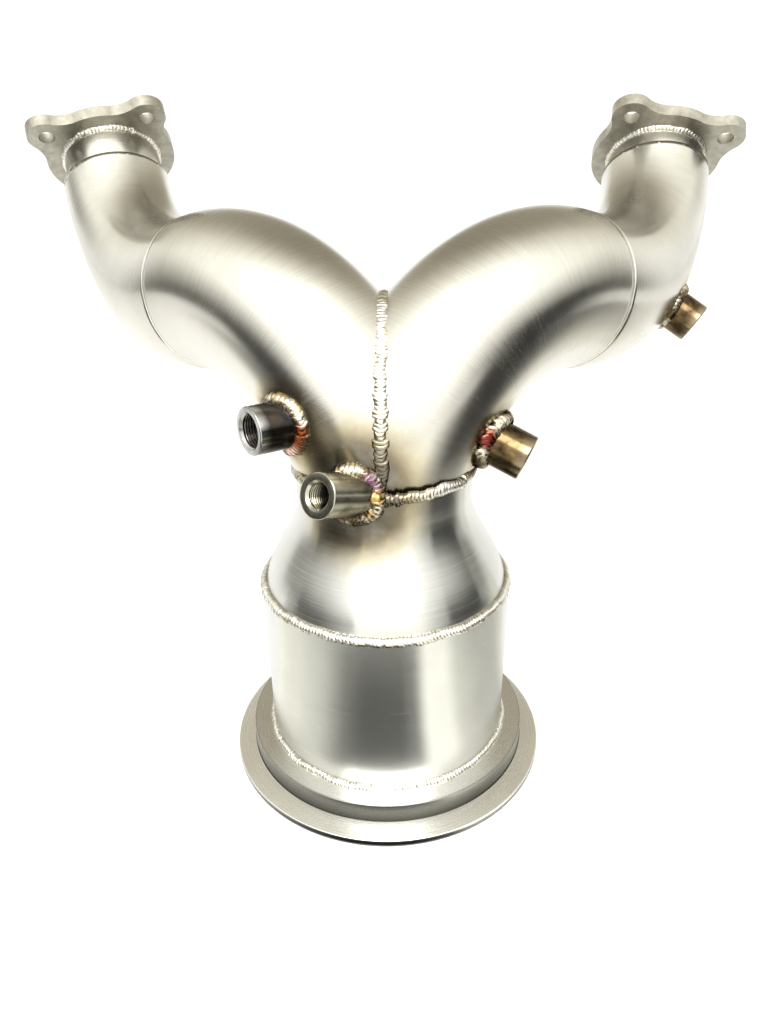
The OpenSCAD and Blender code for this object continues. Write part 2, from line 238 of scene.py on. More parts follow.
def cut_away(piece, point, direction):
    """Removes what lies on the far side of a plane, in millimetres."""
    shape = bmesh.new()
    shape.from_mesh(piece.data)
    everything = list(shape.verts) + list(shape.edges) + list(shape.faces)
    bmesh.ops.bisect_plane(
        shape,
        geom=everything,
        plane_co=Vector(point) * MM,
        plane_no=Vector(direction),
        clear_outer=True,
    )
    shape.to_mesh(piece.data)
    shape.free()


def drill(piece, place, radius, low, high):
    """Cuts a round hole along the Z axis of `place` through a piece."""
    cutter_mesh = bpy.data.meshes.new("cutter")
    shape = bmesh.new()
    tall = place @ move(0, 0, (low + high) / 2)
    bmesh.ops.create_cone(
        shape, cap_ends=True, segments=64, radius1=radius, radius2=radius, depth=high - low
    )
    shape.transform(Matrix.Scale(MM, 4) @ tall)
    bmesh.ops.recalc_face_normals(shape, faces=shape.faces)
    shape.to_mesh(cutter_mesh)
    shape.free()
    cutter = bpy.data.objects.new("cutter", cutter_mesh)
    bpy.context.scene.collection.objects.link(cutter)
    modifier = piece.modifiers.new("hole", "BOOLEAN")
    modifier.operation = "DIFFERENCE"
    modifier.solver = "EXACT"
    modifier.object = cutter
    view = bpy.context.evaluated_depsgraph_get()
    drilled = bpy.data.meshes.new_from_object(piece.evaluated_get(view))
    piece.modifiers.clear()
    piece.data = drilled
    bpy.data.objects.remove(cutter)


# ---- Node helpers -------------------------------------------------------------------------


def add(tree, kind, inputs=None, **settings):
    """New node; an input given as a socket is linked, and any other value is set."""
    made = tree.nodes.new(kind)
    for key, value in settings.items():
        setattr(made, key, value)
    for key, value in (inputs or {}).items():
        if isinstance(value, bpy.types.NodeSocket):
            tree.links.new(value, made.inputs[key])
        else:
            made.inputs[key].default_value = value
    return made


def sums(tree, operation, a, b=0.0, c=0.0, clamp=False):
    made = add(tree, "ShaderNodeMath", {0: a, 1: b, 2: c}, operation=operation, use_clamp=clamp)
    return made.outputs[0]


def ramp(tree, value, stops, interpolation="LINEAR"):
    """Colour ramp with stops of (position, (r, g, b))."""
    made = add(tree, "ShaderNodeValToRGB", {"Fac": value})
    made.color_ramp.interpolation = interpolation
    elements = made.color_ramp.elements
    while len(elements) < len(stops):
        elements.new(0.5)
    for element, (position, colour) in zip(elements, stops):
        element.position = position
        element.color = (*colour, 1)
    return made.outputs["Color"]


def blend_colours(tree, amount, a, b, mode="MIX"):
    made = add(tree, "ShaderNodeMix", data_type="RGBA", blend_type=mode)
    for socket, value in ((made.inputs[0], amount), (made.inputs[6], a), (made.inputs[7], b)):
        if isinstance(value, bpy.types.NodeSocket):
            tree.links.new(value, socket)
        elif isinstance(value, tuple):
            socket.default_value = (*value, 1)
        else:
            socket.default_value = value
    return made.outputs[2]


def spread(tree, value, low, high, new_low, new_high):
    made = add(
        tree,
        "ShaderNodeMapRange",
        {"Value": value, 1: low, 2: high, 3: new_low, 4: new_high},
    )
    return made.outputs[0]


def noise_at(tree, vector, scale, detail=3.0, roughness=0.55, distortion=0.0):
    made = add(
        tree,
        "ShaderNodeTexNoise",
        {
            "Vector": vector,
            "Scale": scale,
            "Detail": detail,
            "Roughness": roughness,
            "Distortion": distortion,
        },
    )
    return made.outputs["Fac"]


def start_material(name, metallic=1.0, anisotropy=0.0):
    material = bpy.data.materials.new(name)
    material.use_nodes = True
    tree = material.node_tree
    shader = tree.nodes["Principled BSDF"]
    shader.inputs["Metallic"].default_value = metallic
    shader.inputs["Anisotropic"].default_value = anisotropy
    return material, tree, shader


def object_place(tree):
    return add(tree, "ShaderNodeTexCoord").outputs["Object"]


def scaled(tree, vector, x, y, z):
    made = add(tree, "ShaderNodeVectorMath", {0: vector, 1: (x, y, z)}, operation="MULTIPLY")
    return made.outputs[0]


def round_the_pipe(tree, stretch_along, stretch_around):
    """Seamless vector from a skin's UV: metres along the axis, and the turn as a circle."""
    uv = add(tree, "ShaderNodeTexCoord").outputs["UV"]
    split = add(tree, "ShaderNodeSeparateXYZ", {0: uv})
    angle = sums(tree, "MULTIPLY", split.outputs["Y"], 2 * math.pi)
    made = add(
        tree,
        "ShaderNodeCombineXYZ",
        {
            "X": sums(tree, "MULTIPLY", split.outputs["X"], stretch_along),
            "Y": sums(tree, "MULTIPLY", sums(tree, "COSINE", angle), stretch_around),
            "Z": sums(tree, "MULTIPLY", sums(tree, "SINE", angle), stretch_around),
        },
    )
    return made.outputs[0]


def set_bump(tree, shader, height, strength, distance):
    made = add(
        tree,
        "ShaderNodeBump",
        {"Height": height, "Strength": strength, "Distance": distance},
    )
    tree.links.new(made.outputs[0], shader.inputs["Normal"])


def feed(tree, shader, **sockets):
    names = {"colour": "Base Color", "roughness": "Roughness", "tangent": "Tangent"}
    for key, socket in sockets.items():
        tree.links.new(socket, shader.inputs[names[key]])


# ---- Heat tint round the sensor bosses ----------------------------------------------------


def mount(name):
    """Position in metres and axis of a mount of the record."""
    for entry in frame["record"]["mounts"]:
        if entry["name"] == name:
            return Vector(entry["pos_m"]), Vector(entry["axis"])
    raise KeyError(name)


def boss_foot(name):
    """Point in metres where a boss meets its pipe."""
    mouth, axis = mount(name + "_sensor_port")
    return mouth - axis * BOSS_H[name] * MM


def boss_upright(name):
    """Frame in millimetres at the boss mouth: +Z out of the pipe, +Y as upright as can be."""
    mouth, axis = mount(name + "_sensor_port")
    level = Vector((0, 0, 1)).cross(axis).normalized()
    upward = axis.cross(level)
    stand = Matrix((level, upward, axis)).transposed().to_4x4()
    return Matrix.Translation(mouth / MM) @ stand


# How far the tint reaches from the boss foot, in millimetres, and how strong it is
TINT = {"left": (27.0, 0.9), "front": (46.0, 0.85), "right": (27.0, 0.9), "upper": (24.0, 0.85)}
TINT_START = 15.0  # the tint is darkest up to here
TINT_RAGGED = 9.0  # how unevenly it spreads
STRAW, BROWN, SOOT = (0.40, 0.33, 0.18), (0.135, 0.105, 0.06), (0.022, 0.016, 0.012)


def heat_tint(tree, colour):
    """Mixes soot, brown and straw over a steel colour near each boss."""
    place = object_place(tree)
    ragged = noise_at(tree, place, 130.0, 3.0)
    for name, (reach, strength) in TINT.items():
        foot = boss_foot(name)
        apart = add(
            tree, "ShaderNodeVectorMath", {0: place, 1: tuple(foot)}, operation="DISTANCE"
        ).outputs["Value"]
        shifted = sums(tree, "MULTIPLY_ADD", ragged, TINT_RAGGED * MM, apart)
        end = reach + TINT_RAGGED / 2
        depth = spread(tree, shifted, TINT_START * MM, end * MM, 0.0, 1.0)
        tint = ramp(
            tree,
            depth,
            [(0.0, SOOT), (0.38, BROWN), (0.68, STRAW), (0.92, (0.56, 0.52, 0.40))],
        )
        fade = spread(tree, depth, 0.45, 1.0, strength, 0.0)
        amount = sums(tree, "MULTIPLY", fade, spread(tree, ragged, 0.3, 0.55, 0.8, 1.0))
        colour = blend_colours(tree, amount, colour, tint)
    return colour


# ---- Materials ----------------------------------------------------------------------------


def steel_colour(tree, light, dark, scale=14.0):
    """Steel with slow cloudy variation between two colours."""
    clouds = noise_at(tree, object_place(tree), scale, 4.0, 0.6)
    return ramp(tree, clouds, [(0.3, dark), (0.7, light)])


def brushed_pipe():
    """Pipe skin with fine brushing round the pipe and hints of the polishing belt."""
    material, tree, shader = start_material("polished_pipe", anisotropy=0.35)
    fine = noise_at(tree, round_the_pipe(tree, 1500.0, 1.2), 1.0, 4.0, 0.7)
    belt = noise_at(tree, round_the_pipe(tree, 120.0, 2.0), 1.0, 2.0, 0.5)
    cloud = noise_at(tree, object_place(tree), 22.0, 4.0, 0.6)
    colour = steel_colour(tree, (0.68, 0.665, 0.625), (0.60, 0.585, 0.54))
    streaked = ramp(tree, fine, [(0.25, (0.90, 0.90, 0.90)), (0.75, (1.0, 1.0, 1.0))])
    colour = blend_colours(tree, 1.0, colour, streaked, "MULTIPLY")
    feed(
        tree,
        shader,
        colour=heat_tint(tree, colour),
        roughness=sums(
            tree,
            "ADD",
            spread(tree, fine, 0.2, 0.8, 0.21, 0.28),
            spread(tree, cloud, 0.3, 0.7, -0.03, 0.04),
        ),
        tangent=add(tree, "ShaderNodeTangent", direction_type="UV_MAP").outputs[0],
    )
    height = sums(tree, "MULTIPLY_ADD", belt, 0.6, fine)
    set_bump(tree, shader, height, 0.06, 0.02 * MM)
    return material


def brushed_can():
    """Can and cone, brushed round the upright axis, with a few deeper lines."""
    material, tree, shader = start_material("brushed_can", anisotropy=0.88)
    shader.inputs["Anisotropic Rotation"].default_value = 0.25
    place = object_place(tree)
    fine = noise_at(tree, scaled(tree, place, 14.0, 14.0, 2600.0), 1.0, 5.0, 0.75)
    lines = noise_at(tree, scaled(tree, place, 9.0, 9.0, 520.0), 1.0, 2.0, 0.5)
    deep = spread(tree, lines, 0.62, 0.72, 0.0, 1.0)
    colour = steel_colour(tree, (0.66, 0.66, 0.64), (0.57, 0.57, 0.545))
    streaked = ramp(tree, fine, [(0.2, (0.84, 0.84, 0.84)), (0.75, (1.0, 1.0, 1.0))])
    colour = blend_colours(tree, 1.0, colour, streaked, "MULTIPLY")
    feed(
        tree,
        shader,
        colour=heat_tint(tree, colour),
        roughness=spread(tree, fine, 0.2, 0.8, 0.18, 0.30),
        tangent=add(tree, "ShaderNodeTangent", direction_type="RADIAL", axis="Z").outputs[0],
    )
    set_bump(tree, shader, sums(tree, "SUBTRACT", fine, deep), 0.22, 0.02 * MM)
    return material


def flange_painted_shade(tree, colour, radius, height):
    """Painted shade on the upright wall of the V-band hub, most at its foot, and a painted dark
    reflection along the edge of the lip.
    """
    wall = sums(tree, "LESS_THAN", radius, (HUB_R + 0.4) * MM)
    outermost = spread(tree, radius, (HUB_R - 1) * MM, (HUB_R - 0.3) * MM, 0.0, 1.0)
    climb = spread(tree, height, (LIP_ROOT_H + 1) * MM, (HUB_H - 0.4) * MM, 0.93, 0.62)
    # painted shade on the hub wall, darkest at its foot
    painted_hub_shade = sums(tree, "MULTIPLY", sums(tree, "MULTIPLY", wall, outermost), climb)
    colour = blend_colours(tree, painted_hub_shade, colour, (0.06, 0.058, 0.045))
    # painted dark reflection along the low outer edge of the lip
    rim = spread(tree, radius, (LIP_R - 0.7) * MM, (LIP_R - 0.3) * MM, 0.0, 0.8)
    low = spread(tree, height, (LIP_EDGE_H - 0.6) * MM, (LIP_EDGE_H - 1.4) * MM, 0.0, 1.0)
    return blend_colours(tree, sums(tree, "MULTIPLY", rim, low), colour, (0.10, 0.098, 0.085))


def turned_flange():
    """V-band flange with the fine rings of the lathe tool on its faces."""
    material, tree, shader = start_material("turned_flange", anisotropy=0.3)
    shader.inputs["Anisotropic Rotation"].default_value = 0.25
    place = object_place(tree)
    split = add(tree, "ShaderNodeSeparateXYZ", {0: place})
    x2 = sums(tree, "MULTIPLY", split.outputs["X"], split.outputs["X"])
    y2 = sums(tree, "MULTIPLY", split.outputs["Y"], split.outputs["Y"])
    radius = sums(tree, "SQRT", sums(tree, "ADD", x2, y2))
    rings = add(
        tree,
        "ShaderNodeCombineXYZ",
        {
            "X": sums(tree, "MULTIPLY", radius, 3200.0),
            "Y": sums(tree, "MULTIPLY", split.outputs["Z"], 2600.0),
        },
    ).outputs[0]
    grooves = noise_at(tree, rings, 1.0, 2.0, 0.5)
    colour = steel_colour(tree, (0.82, 0.815, 0.79), (0.73, 0.725, 0.69))
    feed(
        tree,
        shader,
        # painted shade on the hub wall and a painted dark reflection on the lip's edge
        colour=flange_painted_shade(tree, colour, radius, split.outputs["Z"]),
        roughness=spread(tree, grooves, 0.2, 0.8, 0.2, 0.33),
        tangent=add(tree, "ShaderNodeTangent", direction_type="RADIAL", axis="Z").outputs[0],
    )
    set_bump(tree, shader, grooves, 0.1, 0.02 * MM)
    return material


def cut_plate():
    """Inlet flange plate: water-cut edge, belt-sanded faces."""
    material, tree, shader = start_material("cut_plate")
    place = object_place(tree)
    sanding = noise_at(tree, scaled(tree, place, 2200.0, 260.0, 900.0), 1.0, 3.0, 0.6)
    pits = noise_at(tree, place, 900.0, 3.0, 0.6)
    colour = steel_colour(tree, (0.47, 0.455, 0.40), (0.33, 0.315, 0.265), 190.0)
    feed(
        tree,
        shader,
        colour=colour,
        roughness=spread(tree, sanding, 0.2, 0.8, 0.3, 0.48),
    )
    set_bump(tree, shader, sums(tree, "MULTIPLY_ADD", pits, 0.8, sanding), 0.45, 0.03 * MM)
    return material


def weld_bead():
    """Bright bead: pale crests, painted shade in the hollows between the ripples and along its
    edges.
    """
    material, tree, shader = start_material("weld_bead")
    ripple = add(tree, "ShaderNodeAttribute", attribute_name="mark").outputs["Fac"]
    place = object_place(tree)
    grain = noise_at(tree, place, 1400.0, 3.0, 0.6)
    patches = noise_at(tree, place, 90.0, 3.0, 0.6)
    # painted shade: darker in the ripples' hollows and towards the bead's edges
    colour = ramp(tree, ripple, [(0.1, (0.36, 0.35, 0.32)), (0.6, (0.86, 0.855, 0.83))])
    worn = ramp(tree, patches, [(0.35, (0.78, 0.74, 0.66)), (0.7, (1.0, 1.0, 1.0))])
    feed(
        tree,
        shader,
        colour=heat_tint(tree, blend_colours(tree, 1.0, colour, worn, "MULTIPLY")),
        roughness=spread(tree, grain, 0.2, 0.8, 0.2, 0.42),
    )
    set_bump(tree, shader, grain, 0.4, 0.05 * MM)
    return material


# Oxide colours round each boss: boss, turn about its axis in degrees, colour
GOLD, RUST, PINK = (0.48, 0.33, 0.14), (0.26, 0.085, 0.03), (0.66, 0.46, 0.38)
VIOLET, CRIMSON, CREAM = (0.17, 0.085, 0.15), (0.20, 0.035, 0.03), (0.74, 0.69, 0.55)
OXIDE_SPOTS = [
    ("left", 90, GOLD),
    ("left", 45, CREAM),
    ("left", 0, RUST),
    ("left", -25, RUST),
    ("left", -60, PINK),
    ("front", 100, CREAM),
    ("front", 40, VIOLET),
    ("front", 5, GOLD),
    ("front", -30, GOLD),
    ("front", -70, BROWN),
    ("right", 160, CRIMSON),
    ("right", 110, CREAM),
    ("right", 215, BROWN),
    ("upper", 180, BROWN),
    ("upper", 130, BROWN),
    ("upper", 80, GOLD),
    ("upper", 30, BROWN),
]


def tinted_weld():
    """Boss bead: bright silver crests, painted shade in the hollows, with patches of gold, rust
    and violet oxide.
    """
    material, tree, shader = start_material("tinted_weld")
    ripple = add(tree, "ShaderNodeAttribute", attribute_name="mark").outputs["Fac"]
    place = object_place(tree)
    grain = noise_at(tree, place, 1300.0, 3.0, 0.6)
    patches = noise_at(tree, place, 170.0, 3.0, 0.6)
    colour = ramp(
        tree,
        patches,
        [(0.35, (0.20, 0.145, 0.085)), (0.5, (0.50, 0.45, 0.36)), (0.68, (0.70, 0.68, 0.63))],
    )
    for name, angle, oxide in OXIDE_SPOTS:
        size = (SMALL_BOSS_D if name == "front" else BOSS_D) / 2 + 2.5
        reach = Vector((math.cos(math.radians(angle)), math.sin(math.radians(angle)), 0)) * size
        spot = boss_upright(name) @ (reach + Vector((0, 0, -BOSS_H[name] + 2)))
        apart = add(
            tree, "ShaderNodeVectorMath", {0: place, 1: tuple(spot * MM)}, operation="DISTANCE"
        ).outputs["Value"]
        ragged = sums(tree, "MULTIPLY_ADD", patches, 5 * MM, apart)
        amount = spread(tree, ragged, 5 * MM, 9.5 * MM, 0.95, 0.0)
        colour = blend_colours(tree, amount, colour, oxide)
    # painted shade in the hollows between ripples and along the bead's edges
    crest_and_hollow_shade = ramp(tree, ripple, [(0.05, (0.16, 0.12, 0.09)), (0.5, (1.0, 1.0, 1.0))])
    feed(
        tree,
        shader,
        colour=blend_colours(tree, 1.0, colour, crest_and_hollow_shade, "MULTIPLY"),
        roughness=spread(tree, grain, 0.2, 0.8, 0.18, 0.4),
    )
    set_bump(tree, shader, grain, 0.4, 0.05 * MM)
    return material


def boss_steel(name, light, dark, tone, worn):
    """Turned boss with fine tool marks, a heat-coloured film, a worn mouth and painted shade
    darkening its bore.
    """
    material, tree, shader = start_material(name, anisotropy=0.3)
    marks = noise_at(tree, round_the_pipe(tree, 5200.0, 1.0), 1.0, 3.0, 0.6)
    bands = noise_at(tree, round_the_pipe(tree, 160.0, 3.0), 1.0, 2.0, 0.5)
    film = noise_at(tree, object_place(tree), 110.0, 3.0, 0.6)
    both = sums(tree, "MULTIPLY_ADD", film, 0.6, sums(tree, "MULTIPLY", bands, 0.4))
    colour = ramp(tree, both, [(0.36, dark), (0.5, light), (0.64, tone)])
    wear_and_shade = add(tree, "ShaderNodeAttribute", attribute_name="mark").outputs["Fac"]
    scuffed = sums(tree, "MULTIPLY", wear_and_shade, spread(tree, film, 0.35, 0.6, 0.55, 1.0), clamp=True)
    colour = blend_colours(tree, scuffed, colour, worn)
    # painted shade down the bore: where the mark drops below zero the colour goes nearly black
    deep = sums(tree, "MULTIPLY", wear_and_shade, -1.0, clamp=True)
    colour = blend_colours(tree, deep, colour, (0.012, 0.010, 0.008))
    feed(
        tree,
        shader,
        colour=colour,
        roughness=spread(tree, marks, 0.2, 0.8, 0.14, 0.28),
        tangent=add(tree, "ShaderNodeTangent", direction_type="UV_MAP").outputs[0],
    )
    set_bump(tree, shader, marks, 0.25, 0.02 * MM)
    return material


MATERIALS = {
    "polished_pipe": brushed_pipe(),
    "brushed_can": brushed_can(),
    "turned_flange": turned_flange(),
    "cut_plate": cut_plate(),
    "weld_bead": weld_bead(),
    "tinted_weld": tinted_weld(),
    "blued_boss": boss_steel(
        "blued_boss",
        (0.075, 0.072, 0.072),
        (0.038, 0.035, 0.034),
        (0.12, 0.085, 0.055),
        (0.50, 0.50, 0.49),
    ),
    "turned_boss": boss_steel(
        "turned_boss",
        (0.35, 0.335, 0.265),
        (0.20, 0.185, 0.14),
        (0.43, 0.40, 0.32),
        (0.47, 0.46, 0.40),
    ),
    "bronzed_boss": boss_steel(
        "bronzed_boss",
        (0.135, 0.098, 0.053),
        (0.045, 0.031, 0.019),
        (0.23, 0.175, 0.095),
        (0.33, 0.28, 0.20),
    ),
}


# ---- Turned parts -------------------------------------------------------------------------


def cone_wall():
    """Outer wall of the cone as (r, z), from its foot inside the can to the neck."""
    foot = CAN_TOP - CONE_INSET
    points = []
    for k in range(49):
        t = k / 48
        swell = 0.5 + 0.5 * math.cos(math.pi * t)
        r = NECK_R + (CAN_R - WALL - NECK_R) * swell
        points.append((r, foot + (NECK_START - foot) * t))
    return points + [(NECK_R, NECK_TOP)]


def build_turned_parts():
    flange = [
        (OUTLET_R, 0),
        (LIP_R, 0),
        (LIP_R, LIP_EDGE_H),
        (HUB_R, LIP_ROOT_H),
        (HUB_R, HUB_H),
        (CAN_R, HUB_H),
        (CAN_R, LEDGE_H),
        (OUTLET_R, LEDGE_H),
    ]
    weigh_normals(
        lathe("vband_skin", rounded(flange, 0.7), "turned_flange", ["vband_flange"], sides=240)
    )
    can = [(CAN_R - WALL, LEDGE_H), (CAN_R, LEDGE_H), (CAN_R, CAN_TOP), (CAN_R - WALL, CAN_TOP)]
    weigh_normals(lathe("can_skin", rounded(can, 0.4), "brushed_can", ["outlet_can"], sides=240))
    outer = cone_wall()
    inner = [(r - WALL, z) for r, z in reversed(outer)]
    cone = lathe("cone_skin", outer + inner, "brushed_can", ["reducer_cone"], sides=240)
    weigh_normals(cone)


def build_pipes():
    stub_root = 30  # how far each pipe starts below its mitre, to be cut away
    for name, side in SIDES.items():
        stub = [at_stub(side) @ move(0, 0, z) for z in (-stub_root, 0)]
        arc = [at_lower_bend(side, LOWER_ANGLE * k / 60) for k in range(61)]
        frames = stub + arc
        pipe = sweep(
            f"{name}_bend_skin",
            frames,
            [PIPE_R] * len(frames),
            "polished_pipe",
            [f"{name}_lower_bend"],
        )
        cut_away(pipe, (0, 0, 0), (-side, 0, 0))
        cut_away(pipe, (0, 0, NECK_TOP), (0, 0, -1))
        steps = 56
        elbow = [at_elbow(side, ELBOW_ANGLE[side] * k / steps) for k in range(steps + 1)]
        radii = [elbow_r(k / steps) for k in range(steps + 1)]
        sweep(f"{name}_elbow_skin", elbow, radii, "polished_pipe", [f"{name}_elbow"])
        end = at_elbow(side, ELBOW_ANGLE[side])
        tube = [
            (COLLAR_R - WALL, 0),
            (COLLAR_R, 0),
            (COLLAR_R, COLLAR_LEN[side] + PLATE_T),
            (COLLAR_R - WALL, COLLAR_LEN[side] + PLATE_T),
        ]
        collar = lathe(
            f"{name}_collar_skin", rounded(tube, 0.4), "polished_pipe", [f"{name}_collar"], end
        )
        weigh_normals(collar)


def dress_inlet_flanges():
    for name in SIDES:
        plate = frame["nodes"][f"{name}_inlet_flange"]
        plate.data.materials.clear()
        plate.data.materials.append(MATERIALS["cut_plate"])
        modifier = plate.modifiers.new("broken edges", "BEVEL")
        modifier.width = 0.5 * MM
        modifier.segments = 2
        modifier.limit_method = "ANGLE"
        modifier.angle_limit = math.radians(40)


# ---- Sensor bosses ------------------------------------------------------------------------


def surface_of(*names):
    """Ray-casting tree over the shown skins of these names."""
    verts, polys = [], []
    for name in names:
        mesh = bpy.data.objects[name].data
        start = len(verts)
        verts += [v.co.copy() for v in mesh.vertices]
        polys += [tuple(start + i for i in p.vertices) for p in mesh.polygons]
    return BVHTree.FromPolygons(verts, polys)


def boss_frame(name):
    """Frame in millimetres at the boss mouth, +Z along the axis out of the pipe."""
    mouth, axis = mount(name + "_sensor_port")
    return Matrix.Translation(mouth / MM) @ axis.to_track_quat("Z", "Y").to_matrix().to_4x4()


def feet_on(place, radius, target, sides, reach=60.0):
    """Points round the boss axis where the boss wall meets the pipe, with pipe normals."""
    direction = -(place.to_3x3() @ Vector((0, 0, 1)))
    feet = []
    for k in range(sides):
        a = 2 * math.pi * k / sides
        start = place @ Vector((radius * math.cos(a), radius * math.sin(a), 2))
        hit, normal, _, _ = target.ray_cast(start * MM, direction, reach * MM)
        if hit is None:
            feet.append(None)
            continue
        if normal.dot(direction) > 0:
            normal = -normal
        feet.append((hit / MM, normal))
    return feet


def ring_at(place, radius, height, sides):
    """Ring of points round the Z axis of `place`; radius and height are numbers or one a point."""
    radii, heights = np.broadcast_to(radius, sides), np.broadcast_to(height, sides)
    angles = [2 * math.pi * k / sides for k in range(sides)]
    points = zip(angles, radii, heights)
    return [tuple(place @ Vector((r * math.cos(a), r * math.sin(a), z))) for a, r, z in points]


def boss_wall(place, outer, bore, depths):
    """Rings up the outside of a boss, over its rounded rim and into its mouth, and how worn they
    are.
    """
    sides = len(depths)
    rim, mouth = 0.7, BOSS_MOUTH
    rings = [(outer, depths * (1 - t) - rim * t, 0.0) for t in (0.0, 0.25, 0.5, 0.75)]
    for t in (0.0, 0.33, 0.67, 1.0):
        a = t * math.pi / 2
        rings.append((outer - rim * (1 - math.cos(a)), -rim + rim * math.sin(a), 1.0))
    rings.append(((outer + bore + mouth) / 2, 0, 0.9))
    rings += [(bore + mouth * (1 - t), -mouth * t, 0.9) for t in (0.0, 0.1, 1.0)]
    rows = [ring_at(place, r, z, sides) for r, z, _ in rings]
    return rows, [[worn] * sides for _, _, worn in rings]


def boss_thread(place, outer, bore, deep, sides):
    """Rings of a helical thread from the mouth's chamfer down, and how much painted shade darkens
    it inside.
    """
    turns = np.arange(sides) / sides
    steps = int(deep / THREAD_PITCH * 8)
    rows, wear_and_shade = [], []
    for s in range(steps + 1):
        z = -BOSS_MOUTH - deep * s / steps
        phase = (z / THREAD_PITCH - turns) % 1.0
        tooth = 0.54 * THREAD_PITCH * np.abs(2 * phase - 1)
        rows.append(ring_at(place, bore + tooth * min(1.0, s / 8), z, sides))
        # slight wear at the top of the thread, then painted shade growing deeper down the bore
        wear_and_shade.append([max(-0.97, 0.35 - 1.6 * (-z - BOSS_MOUTH) / outer)] * sides)
    return rows, wear_and_shade


def build_boss(name, outer_d, bore_d, slot, target):
    place = boss_frame(name)
    sides = 96
    outer, bore = outer_d / 2, bore_d / 2
    inverse = place.inverted()
    feet = feet_on(place, outer, target, sides)
    depths = np.array([(inverse @ f[0]).z - 0.6 if f else -BOSS_H[name] for f in feet])
    rows, wear_and_shade = boss_wall(place, outer, bore, depths)
    more_rows, thread_wear_and_shade = boss_thread(place, outer, bore, 2 - depths.min(), sides)
    grid = np.array(rows + more_rows)
    along = np.concatenate([[0], np.linalg.norm(np.diff(grid[:, 0], axis=0), axis=1).cumsum()])
    boss = make_piece(
        f"{name}_boss_skin",
        grid,
        slot,
        [f"{name}_sensor_boss"],
        (False, True),
        (along * MM, np.linspace(0, 1, sides + 1)),
        # mark: wear on the rim and mouth, painted shade down the bore
        wear_and_shade + thread_wear_and_shade,
    )
    weigh_normals(boss)


# ---- Weld beads ---------------------------------------------------------------------------


def even_path(points, normals, spacing, closed=True):
    """Same path, with points evenly spaced along it, in millimetres."""
    points, normals = np.array(points, float), np.array(normals, float)
    if closed:
        points = np.vstack([points, points[:1]])
        normals = np.vstack([normals, normals[:1]])
    at = np.concatenate([[0], np.linalg.norm(np.diff(points, axis=0), axis=1).cumsum()])
    count = max(8, int(round(at[-1] / spacing)))
    wanted = np.linspace(0, at[-1], count, endpoint=not closed)
    path = np.stack([np.interp(wanted, at, points[:, k]) for k in range(3)], 1)
    normal = np.stack([np.interp(wanted, at, normals[:, k]) for k in range(3)], 1)
    return path, normal / np.linalg.norm(normal, axis=1)[:, None], wanted


def sideways_of(path, normal, closed):
    """Unit directions across a bead, square to its path and to the surface."""
    ahead = np.roll(path, -1, 0) - np.roll(path, 1, 0)
    if not closed:
        ahead[0], ahead[-1] = path[1] - path[0], path[-1] - path[-2]
    ahead /= np.linalg.norm(ahead, axis=1)[:, None]
    sideways = np.cross(ahead, normal)
    return sideways / np.linalg.norm(sideways, axis=1)[:, None]


def bead(
    name,
    points,
    normals,
    slot,
    replaced,
    half_width,
    height,
    pitch,
    closed=True,
    depth=0.16,
    wander=0.06,
    chevron=1.1,
    sway=0.15,
    even=0.0,
    seed=1,
):
    """Rippled weld bead along a path: overlapping puddles, each with a curved edge.

    depth is the share of the height that a ripple cuts away, wander how much puddles differ,
    chevron how far a puddle's edge curves, sway how far the bead strays sideways in millimetres,
    and even the least brightness of the painted shade in its hollows.
    """
    columns = 14
    step = pitch / 7
    path, normal, at = even_path(points, normals, step, closed)
    sideways = sideways_of(path, normal, closed)
    length = at[-1] + (step if closed else 0)
    count = max(1, round(length / pitch))
    rng = random.Random(seed)
    sizes = [1 + wander * rng.uniform(-1, 1) for _ in range(count)]
    rises = [1 + 0.5 * wander * rng.uniform(-1, 1) for _ in range(count)]
    rows, ripples = [], []
    for i, (p, n, b) in enumerate(zip(path, normal, sideways)):
        slow = Vector((at[i] / 9, 0.0, seed))
        if closed:
            turned = 2 * math.pi * at[i] / length
            slow = Vector((math.cos(turned), math.sin(turned), seed)) * length / (2 * math.pi * 9)
        drift = sway * noise.noise(slow) * 2
        row, marks = [], []
        for j in range(columns + 1):
            v = 2 * j / columns - 1
            jitter = 0.35 * noise.noise(Vector((at[i] * 0.9, v * 1.3, seed * 7.1)))
            puddle = at[i] / length * count + chevron * (1 - v * v) * 0.5 + jitter
            which = int(math.floor(puddle)) % count
            phase = puddle - math.floor(puddle)
            lift = phase ** 0.6 * (1 - phase) ** 0.25 * 1.35
            crown = max(0.0, 1 - v * v) ** 0.6
            rough = 0.04 * noise.noise(Vector((at[i] * 3.1, v * 6.0, seed * 3.7)))
            rise = height * rises[which] * crown * (1 - depth + depth * lift + rough)
            sink = min(0.25, 2 * height) * (1 - crown)
            row.append(tuple(p + b * (v * half_width * sizes[which] + drift) + n * (rise - sink)))
            # the mark sets the painted shade: lowest in the ripples' hollows and at the bead's
            # edges
            marks.append(max(even, lift * (0.35 + 0.65 * crown)))
        rows.append(row)
        ripples.append(marks)
    uv = (np.append(at, length) * MM, np.linspace(0, 1, columns + 1))
    return make_piece(name, rows, slot, replaced, (closed, False), uv, ripples)


def ring_path(place, radius, lean, count=240):
    """Circle round the Z axis of `place`; normals lean by that many degrees towards +Z."""
    points, normals = [], []
    tilt = math.radians(lean)
    turned = place.to_3x3()
    for k in range(count):
        a = 2 * math.pi * k / count
        out = Vector((math.cos(a), math.sin(a), 0))
        points.append(place @ (out * radius))
        normals.append((turned @ (out * math.cos(tilt) + Vector((0, 0, math.sin(tilt))))))
    return points, normals


